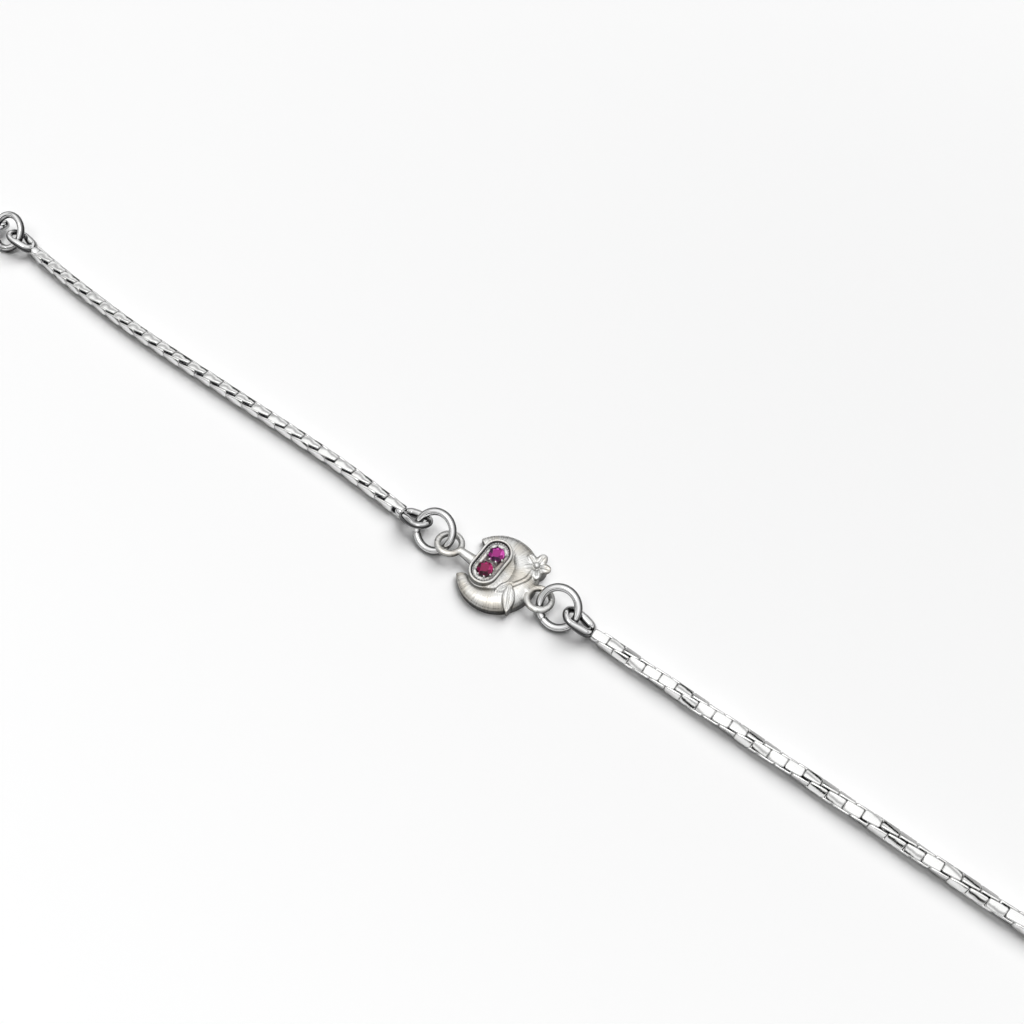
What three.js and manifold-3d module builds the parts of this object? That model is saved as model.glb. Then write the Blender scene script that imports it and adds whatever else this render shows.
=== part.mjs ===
// Fine silver chain bracelet with a small stone-set centre ornament, lying closed on a flat surface.
// Units are millimetres. +Z is up, +X runs along the straight front stretch, and the rest of the loop
// lies towards -Y. The layout is drawn round the ornament's centre and moved at the end, so that the
// origin is the bottom centre of the whole bracelet.

import * as THREE from "three";
import { ConvexGeometry } from "three/addons/geometries/ConvexGeometry.js";
import { mergeVertices } from "three/addons/utils/BufferGeometryUtils.js";
import Module from "manifold-3d";

const wasm = await Module();
wasm.setup();

// ---------------------------------------------------------------- driving dimensions

const CHAIN_WIDTH = 0.94;          // across the flats of the tube that the links fill
const CHAIN_SIDES = 8;
const SHORT_CHAIN_STEPS = 14;
const LONG_CHAIN_STEPS = 76;

const RIGHT_BEND_RADIUS = 5;
const BOTTOM_BEND_RADIUS = 10;
const RIGHT_CORNER = new THREE.Vector2(48.7, 0.2);
const BOTTOM_CORNER = new THREE.Vector2(-5.3, -38.2);

const RING_RADIUS = 1.15;          // to the middle of the wire
const RING_WIRE = 0.42;
const RING_TILT = 36;              // degrees: the far side of a jump ring is up
const RING_Z = 0.89;
const RING_SEGMENTS = 24;
const WIRE_SIDES = 8;

const EYE_RADIUS = 0.57;           // soldered eye at each end of a chain: its round end
const EYE_CHAIN_RADIUS = 0.4;      // and its narrower end
const EYE_LENGTH = 0.76;           // from the middle of one end to the middle of the other
const EYE_WIRE = 0.4;
const EYE_TILT = -28;
const EYE_DROP = 16;               // degrees: the narrow end slopes down to the chain
const EYE_SEGMENTS = 32;
const EYE_TO_CHAIN = 0.06;         // gap between the eye and the chain's end

const LUG_RADIUS = 0.71;           // cast ring at each side of the ornament
const LUG_WIRE = 0.39;
const LUG_TILT = -10;

const CRESCENT_RADIUS = 2.42;
const CRESCENT_WIDTH = 1.86;
const CRESCENT_START = -144;       // degrees, counter-clockwise from +X
const CRESCENT_END = 150;
const CRESCENT_WALL = 0.5;         // height of the upright outer wall
const CRESCENT_DOME = 0.6;         // rise of the dome above the wall where the crescent is widest
const CRESCENT_HORN = 0.3;         // share of the full width that the horns keep
const CRESCENT_SECTIONS = 36;

const PANEL_CENTRE = new THREE.Vector2(-0.58, 0.1);
const PANEL_LENGTH = 3.06;
const PANEL_WIDTH = 1.78;
const PANEL_FLOOR_Z = 1.02;
const PANEL_RIM_Z = 1.26;
const PANEL_RIM_WIDTH = 0.15;
const PRONG_RADIUS = 0.11;
const PRONG_REACH = 0.52;          // from the panel's middle line to a prong

const STONE_DIAMETER = 0.94;
const STONE_SPACING = 1.12;
const STONE_SIDES = 16;
const STONE_GIRDLE_Z = 1.1;
const SEAT_CLEARANCE = 0.035;
const SEAT_DRILL_RADIUS = 0.16;

const FLOWER_CENTRE = new THREE.Vector3(1.66, 1.5, 0.9);
const PETAL_COUNT = 5;
const FIRST_PETAL = 15;            // degrees
const PETAL_RADIUS = 0.4;
const PETAL_REACH = 0.48;
const PETAL_CUP = -12;             // degrees: each petal's tip is raised
const STEM_RADIUS = 0.15;
const LEAF_THICKNESS = 1.2;
const LEAF_DROOP = 11;             // degrees: each leaf's tip is lowered
const LEAF_RIB = 0.16;
const LEAVES = [
  { x: 1.56, y: -1.12, length: 1.7, width: 0.7, turn: -62 },
  { x: 0.96, y: -0.72, length: 1.2, width: 0.56, turn: -118 },
];

const CLASP_RADIUS = 1.95;         // spring ring, to the middle of its tube
const CLASP_TUBE = 0.94;
const CLASP_Z = 1.05;
const CLASP_EYE_RADIUS = 0.6;
const CLASP_EYE_WIRE = 0.36;
const CLASP_HEADING = 235;         // degrees: the way from the clasp's eye to the middle of the clasp
const CLASP_REACH = 3.05;
const END_HEADING = -52;           // the way from the middle of the clasp to the long chain's end
const END_RING_TILT = 50;
const END_RING_Z = 1.09;
const END_RING_REACH = 2.1;
const END_RING_TO_EYE = 1.1;
const END_EYE_Z = 1.05;

// Middles of the lugs, the jump rings and the eyes, which lie as they fell and not in one line.
const LEFT_SIDE = {
  lug: { x: -3.28, y: -0.29, z: 0.82, arm: 2 },
  ring: { x: -4.47, y: -0.19 },
  eye: { x: -5.6, y: -0.19 },
};
const RIGHT_SIDE = {
  lug: { x: 2.94, y: -0.03, z: 0.79, arm: 1.2 },
  ring: { x: 4.14, y: 0.17 },
  eye: { x: 5.27, y: 0.17 },
};
const CLASP_SIDE = {
  eye: { x: -41.64, y: 0.5 },
  ring: { x: -42.77, y: 0.48 },
  claspEye: { x: -43.92, y: 0.5 },
};

// The short chain lies almost straight. These points lie between its two ends.
const SHORT_CHAIN_ROUTE = [
  { x: -35.5, y: 0.12 },
  { x: -29.0, y: -0.14 },
  { x: -21.0, y: -0.04 },
  { x: -13.0, y: 0.06 },
];

// ---------------------------------------------------------------- materials

const silver = () => new THREE.MeshStandardMaterial({ color: 0xdcdcdc, roughness: 0.24, metalness: 1 });
const satinSilver = () => new THREE.MeshStandardMaterial({ color: 0xe2e0db, roughness: 0.42, metalness: 1 });
const pinkStone = () => new THREE.MeshStandardMaterial({ color: 0xb0207c, roughness: 0.05, metalness: 0 });
const redStone = () => new THREE.MeshStandardMaterial({ color: 0x9c1548, roughness: 0.05, metalness: 0 });

// ---------------------------------------------------------------- helpers

const radians = (degrees) => THREE.MathUtils.degToRad(degrees);

// Turns are in degrees about X, then Y, then Z.
function placement({ turn = [0, 0, 0], scale = [1, 1, 1], at = [0, 0, 0] }) {
  return new THREE.Matrix4().compose(
    new THREE.Vector3(...at),
    new THREE.Quaternion().setFromEuler(new THREE.Euler(...turn.map(radians), "ZYX")),
    new THREE.Vector3(...scale),
  );
}

function placed(geometry, where) {
  return geometry.clone().applyMatrix4(placement(where));
}

// A closed geometry as a solid that can be joined and cut.
function solid(geometry) {
  const bare = geometry.index ? geometry.toNonIndexed() : geometry.clone();
  for (const name of Object.keys(bare.attributes)) {
    if (name !== "position") bare.deleteAttribute(name);
  }
  const welded = mergeVertices(bare, 1e-5);
  const triangles = [];
  const index = welded.index.array;
  for (let i = 0; i < index.length; i += 3) {
    const [a, b, c] = [index[i], index[i + 1], index[i + 2]];
    if (a !== b && b !== c && c !== a) triangles.push(a, b, c);
  }
  return new wasm.Manifold(new wasm.Mesh({
    numProp: 3,
    vertProperties: new Float32Array(welded.attributes.position.array),
    triVerts: new Uint32Array(triangles),
  }));
}

function joined(solids) {
  return solids.reduce((whole, piece) => whole.add(piece));
}

function geometryOf(body) {
  const mesh = body.getMesh();
  const geometry = new THREE.BufferGeometry();
  const positions = new Float32Array((mesh.vertProperties.length / mesh.numProp) * 3);
  for (let vertex = 0; vertex < positions.length / 3; vertex += 1) {
    for (let axis = 0; axis < 3; axis += 1) {
      positions[vertex * 3 + axis] = mesh.vertProperties[vertex * mesh.numProp + axis];
    }
  }
  geometry.setAttribute("position", new THREE.BufferAttribute(positions, 3));
  geometry.setIndex(Array.from(mesh.triVerts));
  geometry.computeVertexNormals();
  return geometry;
}

function named(name, geometry, material) {
  const mesh = new THREE.Mesh(geometry, material);
  mesh.name = name;
  return mesh;
}

// A round wire ring that lies flat before it is turned.
function wireRing(radius, wire) {
  return new THREE.TorusGeometry(radius, wire / 2, WIRE_SIDES, RING_SEGMENTS);
}

function bead(radius, where) {
  return solid(placed(new THREE.SphereGeometry(radius, 12, 8), where));
}

// A round rod between two points, which may taper.
function rod(from, to, fromRadius, toRadius) {
  const axis = to.clone().sub(from);
  const turn = new THREE.Quaternion().setFromUnitVectors(new THREE.Vector3(0, 1, 0), axis.clone().normalize());
  const cylinder = new THREE.CylinderGeometry(toRadius, fromRadius, axis.length(), 12);
  const middle = from.clone().add(to).multiplyScalar(0.5);
  return solid(cylinder.applyQuaternion(turn).translate(middle.x, middle.y, middle.z));
}

function heading(degrees) {
  return new THREE.Vector2(Math.cos(radians(degrees)), Math.sin(radians(degrees)));
}

// ---------------------------------------------------------------- chain

// Adds a rounded corner to a path that is made of straight runs and arcs.
function bend(path, from, corner, to, radius) {
  const inward = from.clone().sub(corner).normalize();
  const outward = to.clone().sub(corner).normalize();
  const halfAngle = Math.acos(inward.dot(outward)) / 2;
  const reach = radius / Math.tan(halfAngle);
  const start = corner.clone().addScaledVector(inward, reach);
  const end = corner.clone().addScaledVector(outward, reach);
  const bisector = inward.clone().add(outward).normalize();
  const centre = corner.clone().addScaledVector(bisector, radius / Math.sin(halfAngle));
  const startAngle = Math.atan2(start.y - centre.y, start.x - centre.x);
  let endAngle = Math.atan2(end.y - centre.y, end.x - centre.x);
  if (endAngle > startAngle) endAngle -= 2 * Math.PI;
  path.push({ line: [from, start] });
  path.push({ centre, radius, startAngle, endAngle });
  return end;
}

// A path of straight runs and arcs as a curve of even speed at one height.
class LoopPath extends THREE.Curve {
  constructor(pieces, height) {
    super();
    this.pieces = pieces;
    this.height = height;
    this.lengths = pieces.map((piece) => (
      piece.line ? piece.line[0].distanceTo(piece.line[1])
        : piece.radius * Math.abs(piece.endAngle - piece.startAngle)
    ));
    this.total = this.lengths.reduce((sum, length) => sum + length, 0);
  }

  getPoint(t, target = new THREE.Vector3()) {
    let distance = t * this.total;
    let index = 0;
    while (index < this.pieces.length - 1 && distance > this.lengths[index]) {
      distance -= this.lengths[index];
      index += 1;
    }
    const piece = this.pieces[index];
    const share = distance / this.lengths[index];
    if (piece.line) {
      const point = piece.line[0].clone().lerp(piece.line[1], share);
      return target.set(point.x, point.y, this.height);
    }
    const angle = THREE.MathUtils.lerp(piece.startAngle, piece.endAngle, share);
    return target.set(
      piece.centre.x + piece.radius * Math.cos(angle),
      piece.centre.y + piece.radius * Math.sin(angle),
      this.height,
    );
  }
}

function chainSection() {
  const section = new THREE.Shape();
  const reach = CHAIN_WIDTH / 2 / Math.cos(Math.PI / CHAIN_SIDES);
  for (let side = 0; side < CHAIN_SIDES; side += 1) {
    const angle = ((side + 0.5) / CHAIN_SIDES) * 2 * Math.PI;
    const point = [reach * Math.cos(angle), reach * Math.sin(angle)];
    if (side === 0) section.moveTo(...point);
    else section.lineTo(...point);
  }
  section.closePath();
  return section;
}

function chainTube(path, steps) {
  return new THREE.ExtrudeGeometry(chainSection(), { steps, extrudePath: path });
}

// ---------------------------------------------------------------- rings and eyes

function jumpRing({ x, y, z = RING_Z, tilt = RING_TILT, direction = 0 }) {
  return placed(wireRing(RING_RADIUS, RING_WIRE), { turn: [tilt, 0, direction], at: [x, y, z] });
}

// The eye at a chain's end: a closed wire loop, round where the jump ring passes and narrower at the chain.
function endEye({ x, y, direction, tilt = EYE_TILT, z = RING_Z }) {
  const lean = Math.acos((EYE_RADIUS - EYE_CHAIN_RADIUS) / EYE_LENGTH);
  const roundEnd = new THREE.Vector2(0, 0);
  const chainEnd = new THREE.Vector2(EYE_LENGTH, 0);
  const point = (centre, radius, angle) => new THREE.Vector2(
    centre.x + radius * Math.cos(angle),
    centre.y + radius * Math.sin(angle),
  );
  const loop = new LoopPath([
    { centre: roundEnd, radius: EYE_RADIUS, startAngle: lean, endAngle: 2 * Math.PI - lean },
    { line: [point(roundEnd, EYE_RADIUS, -lean), point(chainEnd, EYE_CHAIN_RADIUS, -lean)] },
    { centre: chainEnd, radius: EYE_CHAIN_RADIUS, startAngle: -lean, endAngle: lean },
    { line: [point(chainEnd, EYE_CHAIN_RADIUS, lean), point(roundEnd, EYE_RADIUS, lean)] },
  ], 0);
  const wire = new THREE.TubeGeometry(loop, EYE_SEGMENTS, EYE_WIRE / 2, WIRE_SIDES, true);
  return placed(wire, { turn: [tilt, EYE_DROP, direction], at: [x, y, z] });
}

// How far a chain's end lies from the middle of its eye's round end.
const EYE_REACH = (EYE_LENGTH + EYE_CHAIN_RADIUS + EYE_WIRE / 2) * Math.cos(radians(EYE_DROP)) + EYE_TO_CHAIN;

// ---------------------------------------------------------------- ornament

// A crescent with a flat back, an upright wall and a domed top, tapering to a horn at each end.
function crescent() {
  const profileSteps = 8;
  const positions = [];
  const index = [];
  const ringSize = profileSteps + 3;
  for (let section = 0; section <= CRESCENT_SECTIONS; section += 1) {
    const share = section / CRESCENT_SECTIONS;
    const angle = radians(THREE.MathUtils.lerp(CRESCENT_START, CRESCENT_END, share));
    const fullness = THREE.MathUtils.lerp(CRESCENT_HORN, 1, Math.sin(Math.PI * share) ** 0.8);
    const width = CRESCENT_WIDTH * fullness;
    const rise = CRESCENT_DOME * fullness;
    const wall = CRESCENT_WALL * (0.62 + 0.38 * fullness);
    const middle = CRESCENT_RADIUS - width / 2;
    const profile = [[-width / 2, 0], [width / 2, 0]];
    for (let step = 0; step <= profileSteps; step += 1) {
      const turn = (step / profileSteps) * Math.PI;
      profile.push([(width / 2) * Math.cos(turn), wall + rise * Math.sin(turn)]);
    }
    for (const [across, height] of profile) {
      const radius = middle + across;
      positions.push(radius * Math.cos(angle), radius * Math.sin(angle), height);
    }
  }
  for (let section = 0; section < CRESCENT_SECTIONS; section += 1) {
    for (let corner = 0; corner < ringSize; corner += 1) {
      const a = section * ringSize + corner;
      const b = section * ringSize + ((corner + 1) % ringSize);
      index.push(a, a + ringSize, b, b, a + ringSize, b + ringSize);
    }
  }
  const last = CRESCENT_SECTIONS * ringSize;
  for (let corner = 1; corner < ringSize - 1; corner += 1) {
    index.push(0, corner, corner + 1);
    index.push(last, last + corner + 1, last + corner);
  }
  const geometry = new THREE.BufferGeometry();
  geometry.setAttribute("position", new THREE.Float32BufferAttribute(positions, 3));
  geometry.setIndex(index);
  return solid(geometry);
}

function stadium(length, width, low, high) {
  const radius = width / 2;
  const straight = length / 2 - radius;
  const outline = new THREE.Shape();
  outline.absarc(0, straight, radius, 0, Math.PI, false);
  outline.absarc(0, -straight, radius, Math.PI, 2 * Math.PI, false);
  outline.closePath();
  const plate = new THREE.ExtrudeGeometry(outline, { depth: high - low, bevelEnabled: false, curveSegments: 12 });
  return solid(placed(plate, { at: [PANEL_CENTRE.x, PANEL_CENTRE.y, low] }));
}

const stoneCentres = [-1, 1].map((side) => new THREE.Vector2(
  PANEL_CENTRE.x, PANEL_CENTRE.y + (side * STONE_SPACING) / 2,
));

// A round brilliant with a table, a crown of star and kite facets and a pointed pavilion.
function stoneGeometry(centre, clearance = 0) {
  const girdle = STONE_DIAMETER / 2;
  const rows = [
    { height: 0.19, radius: girdle * 0.54, sides: STONE_SIDES / 2, shift: 0 },
    { height: 0.12, radius: girdle * 0.79, sides: STONE_SIDES / 2, shift: 0.5 },
    { height: 0.02, radius: girdle, sides: STONE_SIDES, shift: 0 },
    { height: -0.02, radius: girdle, sides: STONE_SIDES, shift: 0 },
    { height: -0.24, radius: girdle * 0.42, sides: STONE_SIDES / 2, shift: 0.5 },
  ];
  const points = [new THREE.Vector3(0, 0, -0.36 - clearance)];
  for (const row of rows) {
    for (let side = 0; side < row.sides; side += 1) {
      const direction = heading(((side + row.shift) / row.sides) * 360);
      const reach = row.radius + clearance;
      const height = row.height + Math.sign(row.height) * clearance;
      points.push(new THREE.Vector3(reach * direction.x, reach * direction.y, height));
    }
  }
  return placed(new ConvexGeometry(points), { at: [centre.x, centre.y, STONE_GIRDLE_Z] });
}

// The seat leaves the stone a small clearance, an open top and a drilled hole to the back.
function stoneSeat(centre) {
  const drill = new THREE.CylinderGeometry(SEAT_DRILL_RADIUS, SEAT_DRILL_RADIUS, 2, 12);
  return solid(stoneGeometry(centre, SEAT_CLEARANCE)).add(solid(placed(drill, {
    turn: [90, 0, 0],
    at: [centre.x, centre.y, STONE_GIRDLE_Z - 1.2],
  })));
}

// The raised setting: a stadium plate with a sunk floor inside its rim.
function setting() {
  const inset = 2 * PANEL_RIM_WIDTH;
  const outer = stadium(PANEL_LENGTH, PANEL_WIDTH, 0, PANEL_RIM_Z);
  const recess = stadium(PANEL_LENGTH - inset, PANEL_WIDTH - inset, PANEL_FLOOR_Z, PANEL_RIM_Z + 1);
  return outer.subtract(recess);
}

// Prongs stand in pairs above, between and below the stones, with small filler beads at both ends.
function settingBeads() {
  const beads = [];
  for (const row of [-1, 0, 1]) {
    for (const side of [-1, 1]) {
      const at = [
        PANEL_CENTRE.x + side * PRONG_REACH,
        PANEL_CENTRE.y + row * STONE_SPACING * 0.94,
        PANEL_FLOOR_Z + 0.12,
      ];
      beads.push(bead(PRONG_RADIUS, { scale: [1, 1, 1.5], at }));
    }
  }
  for (const end of [-1, 1]) {
    const at = [PANEL_CENTRE.x, PANEL_CENTRE.y + end * (PANEL_LENGTH / 2 - 0.3), PANEL_FLOOR_Z + 0.04];
    beads.push(bead(PRONG_RADIUS * 0.8, { scale: [1, 1, 1.4], at }));
  }
  return beads;
}

// Five cupped petals round a bead, on a round boss.
function flower() {
  const { x, y, z } = FLOWER_CENTRE;
  const boss = new THREE.CylinderGeometry(0.5, 0.62, z, 16);
  const pieces = [
    bead(0.23, { scale: [1, 1, 0.85], at: [x, y, z + 0.1] }),
    solid(placed(boss, { turn: [90, 0, 0], at: [x, y, z / 2] })),
  ];
  for (let petal = 0; petal < PETAL_COUNT; petal += 1) {
    const turn = FIRST_PETAL + (petal / PETAL_COUNT) * 360;
    const direction = heading(turn);
    pieces.push(bead(PETAL_RADIUS, {
      turn: [0, PETAL_CUP, turn],
      scale: [1, 0.8, 0.55],
      at: [x + PETAL_REACH * direction.x, y + PETAL_REACH * direction.y, z - 0.02],
    }));
  }
  return pieces;
}

// A stem that follows the crescent down from the flower and ends in two pointed leaves.
function sprig() {
  const stemPath = new THREE.CatmullRomCurve3([
    new THREE.Vector3(FLOWER_CENTRE.x, FLOWER_CENTRE.y - 0.4, 0.95),
    new THREE.Vector3(FLOWER_CENTRE.x + 0.02, 0.4, 1.03),
    new THREE.Vector3(FLOWER_CENTRE.x - 0.42, -0.45, 1.06),
  ]);
  const section = new THREE.Shape().absarc(0, 0, STEM_RADIUS, 0, 2 * Math.PI, false);
  const stem = new THREE.ExtrudeGeometry(section, { steps: 8, extrudePath: stemPath, curveSegments: 5 });
  return [solid(stem), ...LEAVES.map((leaf) => leafSolid(leaf))];
}

// A leaf is two domed halves that meet in a sunk middle rib and taper to both ends.
function leafSolid({ x, y, length, width, turn }) {
  const half = length / 2;
  const outline = new THREE.Shape();
  outline.moveTo(-half, 0);
  outline.quadraticCurveTo(0, -width, half, 0);
  outline.quadraticCurveTo(0, width, -half, 0);
  const blade = new THREE.ExtrudeGeometry(outline, { depth: LEAF_THICKNESS, bevelEnabled: false, curveSegments: 8 });
  const groove = new THREE.CylinderGeometry(LEAF_RIB, LEAF_RIB, length, 4);
  const cut = solid(placed(groove, { turn: [0, 0, 90], at: [0, 0, LEAF_THICKNESS + LEAF_RIB * 0.3] }));
  return solid(blade).subtract(cut).transform(placement({ turn: [0, LEAF_DROOP, turn], at: [x, y, 0] }).toArray());
}

// A cast ring at each side, with a short arm that grows out of the body.
function lug({ x, y, z, arm }) {
  const inward = -Math.sign(x);
  const ring = solid(placed(wireRing(LUG_RADIUS, LUG_WIRE), { turn: [LUG_TILT, 0, 0], at: [x, y, z] }));
  const from = new THREE.Vector3(x + inward * LUG_RADIUS, y, z);
  const to = new THREE.Vector3(x + inward * arm, y, z - 0.15);
  return ring.add(rod(from, to, LUG_WIRE / 2, 0.3));
}

function centreOrnament() {
  let body = joined([
    crescent(),
    setting(),
    ...settingBeads(),
    ...flower(),
    ...sprig(),
    lug(LEFT_SIDE.lug),
    lug(RIGHT_SIDE.lug),
  ]);
  for (const centre of stoneCentres) body = body.subtract(stoneSeat(centre));
  const underside = new THREE.BoxGeometry(20, 20, 2);
  return geometryOf(body.subtract(solid(placed(underside, { at: [0, 0, -1] }))));
}

// ---------------------------------------------------------------- clasp

// A closed spring ring with its own small eye and a thumb piece on top.
function clasp(eyeAt) {
  const way = heading(CLASP_HEADING);
  const centre = new THREE.Vector3(
    eyeAt.x + CLASP_REACH * way.x,
    eyeAt.y + CLASP_REACH * way.y,
    CLASP_Z,
  );
  const edge = CLASP_RADIUS + CLASP_TUBE / 4;
  const neckFrom = new THREE.Vector3(
    eyeAt.x + CLASP_EYE_RADIUS * way.x,
    eyeAt.y + CLASP_EYE_RADIUS * way.y,
    RING_Z,
  );
  const neckTo = new THREE.Vector3(centre.x - edge * way.x, centre.y - edge * way.y, CLASP_Z);
  const thumb = heading(CLASP_HEADING - 90);
  const ring = new THREE.TorusGeometry(CLASP_RADIUS, CLASP_TUBE / 2, 10, 32);
  const eye = wireRing(CLASP_EYE_RADIUS, CLASP_EYE_WIRE);
  const body = joined([
    solid(placed(ring, { at: centre.toArray() })),
    solid(placed(eye, { turn: [EYE_TILT, 0, 0], at: [eyeAt.x, eyeAt.y, RING_Z] })),
    rod(neckFrom, neckTo, 0.2, 0.3),
    bead(0.3, {
      scale: [1, 1, 0.9],
      at: [centre.x + CLASP_RADIUS * thumb.x, centre.y + CLASP_RADIUS * thumb.y, CLASP_Z + CLASP_TUBE / 2],
    }),
  ]);
  return { centre, geometry: geometryOf(body) };
}

// ---------------------------------------------------------------- the whole bracelet

const bracelet = new THREE.Group();

bracelet.add(named("centre_ornament", centreOrnament(), satinSilver()));
bracelet.add(named("stone_lower", stoneGeometry(stoneCentres[0]), redStone()));
bracelet.add(named("stone_upper", stoneGeometry(stoneCentres[1]), pinkStone()));

bracelet.add(named("jump_ring_left", jumpRing(LEFT_SIDE.ring), silver()));
bracelet.add(named("jump_ring_right", jumpRing(RIGHT_SIDE.ring), silver()));

const shortEyes = [
  { name: "end_eye_short_outer", ...CLASP_SIDE.eye, direction: 0 },
  { name: "end_eye_short_inner", ...LEFT_SIDE.eye, direction: 180, tilt: -EYE_TILT },
];
const shortChainEnds = shortEyes.map((eye) => (
  { x: eye.x + EYE_REACH * heading(eye.direction).x, y: eye.y }
));
const shortChainPath = new THREE.CatmullRomCurve3(
  [shortChainEnds[0], ...SHORT_CHAIN_ROUTE, shortChainEnds[1]]
    .map((point) => new THREE.Vector3(point.x, point.y, CHAIN_WIDTH / 2)),
);
bracelet.add(named("chain_short", chainTube(shortChainPath, SHORT_CHAIN_STEPS), silver()));

const fastener = clasp(CLASP_SIDE.claspEye);
bracelet.add(named("clasp", fastener.geometry, silver()));
bracelet.add(named("jump_ring_clasp", jumpRing(CLASP_SIDE.ring), silver()));

const endWay = heading(END_HEADING);
const alongEnd = (distance) => new THREE.Vector2(
  fastener.centre.x + distance * endWay.x,
  fastener.centre.y + distance * endWay.y,
);
const endRing = alongEnd(END_RING_REACH);
const endEyeAt = alongEnd(END_RING_REACH + END_RING_TO_EYE);
const longChainEnd = alongEnd(END_RING_REACH + END_RING_TO_EYE + EYE_REACH);
bracelet.add(named(
  "jump_ring_end",
  jumpRing({ x: endRing.x, y: endRing.y, z: END_RING_Z, tilt: END_RING_TILT, direction: END_HEADING }),
  silver(),
));
const longEyes = [
  { name: "end_eye_long_inner", ...RIGHT_SIDE.eye, direction: 0 },
  { name: "end_eye_long_outer", x: endEyeAt.x, y: endEyeAt.y, direction: END_HEADING, z: END_EYE_Z },
];
for (const eye of [...shortEyes, ...longEyes]) bracelet.add(named(eye.name, endEye(eye), silver()));

const longChainPieces = [];
const longChainStart = new THREE.Vector2(RIGHT_SIDE.eye.x + EYE_REACH, RIGHT_SIDE.eye.y);
const afterRight = bend(longChainPieces, longChainStart, RIGHT_CORNER, BOTTOM_CORNER, RIGHT_BEND_RADIUS);
const afterBottom = bend(longChainPieces, afterRight, BOTTOM_CORNER, longChainEnd, BOTTOM_BEND_RADIUS);
longChainPieces.push({ line: [afterBottom, longChainEnd] });
const longChainPath = new LoopPath(longChainPieces, CHAIN_WIDTH / 2);
bracelet.add(named("chain_long", chainTube(longChainPath, LONG_CHAIN_STEPS), silver()));

const extent = new THREE.Box3().setFromObject(bracelet);
const middle = extent.getCenter(new THREE.Vector3());
bracelet.position.set(-middle.x, -middle.y, -extent.min.z);

export default bracelet;
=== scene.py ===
"""A fine silver chain bracelet with a small stone-set ornament, lying closed on a pale table.

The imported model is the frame. Its two chain tubes are replaced by real interlocking links, and its
casting, eyes, rings and clasp by finer meshes of the same form. The two stones keep their solids.
Lengths are millimetres and angles degrees, unless the text says otherwise.
"""

import logging
import math
from collections.abc import Sequence
from dataclasses import dataclass, field
from enum import Enum

import bpy
import numpy as np
from bpy.types import ID, Material, Mesh, Node, NodeSocket, NodeTree, Object
from mathutils import Matrix, Vector


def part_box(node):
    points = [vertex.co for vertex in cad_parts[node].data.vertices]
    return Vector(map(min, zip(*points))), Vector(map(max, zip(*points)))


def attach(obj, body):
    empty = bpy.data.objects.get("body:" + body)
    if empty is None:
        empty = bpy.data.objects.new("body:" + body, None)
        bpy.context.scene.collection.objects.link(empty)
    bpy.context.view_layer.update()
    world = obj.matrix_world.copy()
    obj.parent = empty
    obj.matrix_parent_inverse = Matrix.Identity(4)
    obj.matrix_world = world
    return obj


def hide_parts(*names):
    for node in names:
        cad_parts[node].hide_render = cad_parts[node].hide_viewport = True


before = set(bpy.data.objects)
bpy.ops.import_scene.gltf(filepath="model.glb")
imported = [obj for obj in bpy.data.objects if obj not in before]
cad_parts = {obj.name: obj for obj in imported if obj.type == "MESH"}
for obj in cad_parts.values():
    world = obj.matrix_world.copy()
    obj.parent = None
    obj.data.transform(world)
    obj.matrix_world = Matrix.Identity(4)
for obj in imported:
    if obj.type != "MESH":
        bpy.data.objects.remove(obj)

MM = 0.001
BODY = "root"
RECESS = "recess"
LOG = logging.getLogger("chain_bracelet")

Pair = tuple[float, float]
Triple = tuple[float, float, float]


# ---------------------------------------------------------------- small helpers


def linear(hex_colour: str) -> tuple[float, float, float, float]:
    """Turns an sRGB hex colour into linear RGBA.

    Args:
        hex_colour: The colour as "#rrggbb".

    Returns:
        Red, green, blue and an alpha of 1, for a shader socket.
    """
    channels = [int(hex_colour[i:i + 2], 16) / 255 for i in (1, 3, 5)]
    red, green, blue = [
        channel / 12.92 if channel <= 0.04045 else ((channel + 0.055) / 1.055) ** 2.4
        for channel in channels
    ]
    return red, green, blue, 1.0


def add_node(tree: NodeTree, kind: str, inputs: dict[str | int, object] | None = None,
             **settings: object) -> Node:
    """Adds a node and sets or links its inputs.

    Args:
        tree: The node tree that gets the node.
        kind: The node's Blender type name.
        inputs: Input name or number to a value, or to an output socket that is linked to it.
        **settings: The node's own properties.

    Returns:
        The new node.
    """
    node = tree.nodes.new(kind)
    for name, value in settings.items():
        setattr(node, name, value)
    for name, value in (inputs or {}).items():
        if isinstance(value, NodeSocket):
            tree.links.new(value, node.inputs[name])
        else:
            node.inputs[name].default_value = value
    return node


def set_ramp(node: Node, stops: Sequence[tuple[float, str]]) -> None:
    """Gives a colour ramp its stops.

    Args:
        node: The colour ramp node.
        stops: Position and hex colour of each stop, from left to right.
    """
    elements = node.color_ramp.elements
    while len(elements) < len(stops):
        elements.new(1.0)
    for element, (position, colour) in zip(elements, stops):
        element.position = position
        element.color = linear(colour)


def per_metre(spacing_mm: float) -> float:
    """The scale of a pattern whose features lie this far apart, for coordinates in metres."""
    return 1 / (spacing_mm * MM)


def new_material(name: str, recipe: "Recipe") -> Material:
    """Makes a node material.

    Args:
        name: The material's name.
        recipe: The finish whose surface it gets.

    Returns:
        The material.
    """
    material = bpy.data.materials.new(name)
    material.use_nodes = True
    material.node_tree.nodes.clear()
    add_node(material.node_tree, "ShaderNodeOutputMaterial",
             {"Surface": recipe.surface(material.node_tree)})
    return material


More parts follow.
